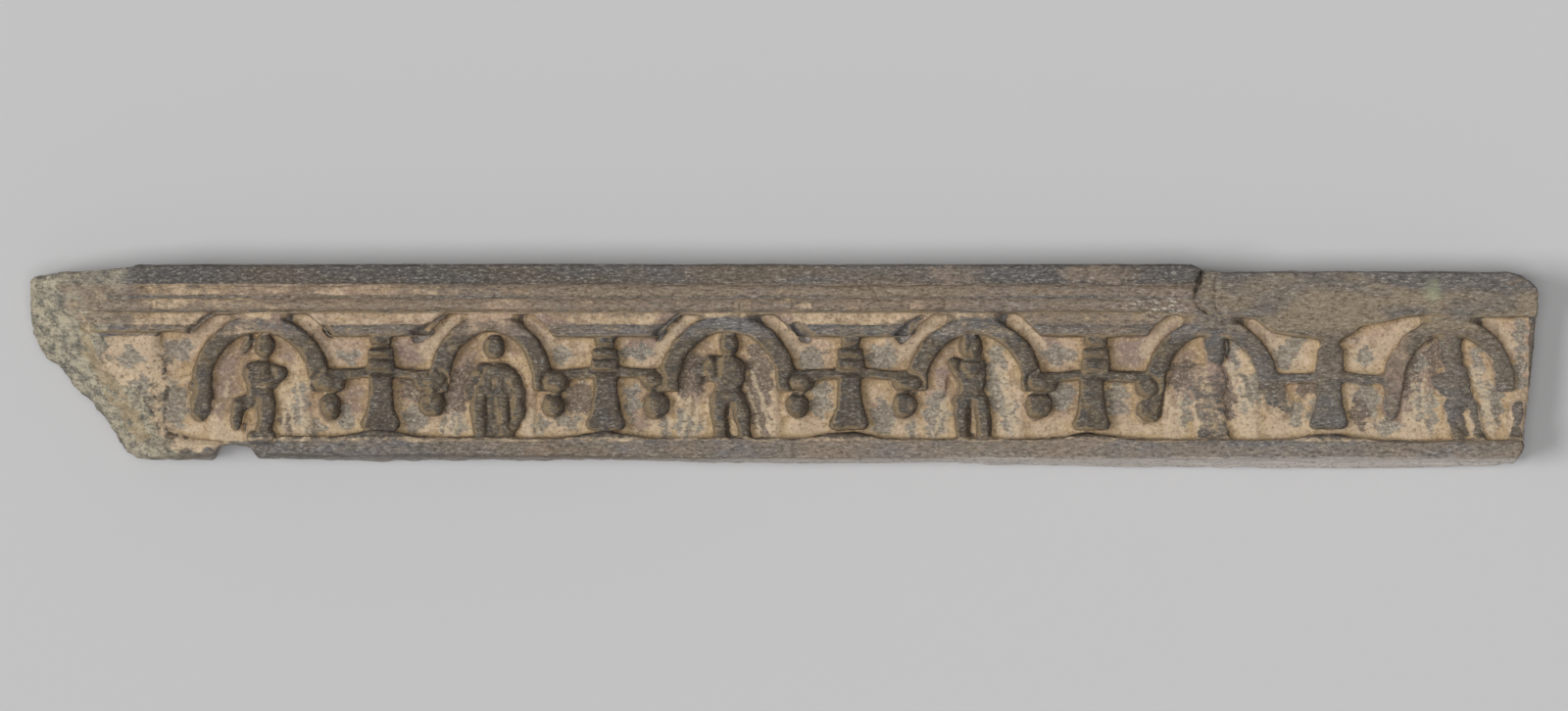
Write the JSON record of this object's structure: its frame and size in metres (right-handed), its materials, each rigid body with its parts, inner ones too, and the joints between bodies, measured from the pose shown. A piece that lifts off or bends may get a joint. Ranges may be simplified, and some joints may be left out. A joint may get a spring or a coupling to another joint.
{
  "type": "relief panel",
  "caption": "Long narrow stone frieze carved in low relief: figures standing under round arches between short pilasters, below a moulded cornice; one end broken off on a slant.",
  "frame": {"origin": "on the flat back, under the middle of the panel's bounding box", "axes": "+X runs along the frieze, to the right as its figures are seen; +Y points from the foot band to the cornice; +Z comes straight out of the carved face"},
  "size_m": [0.6468, 0.0878, 0.046],
  "materials": {
    "schist": "worn grey-brown schist with fine mica, earth deposit in the hollows"
  },
  "bodies": {
    "root": {"relief_panel": "schist"}
  },
  "joints": []
}
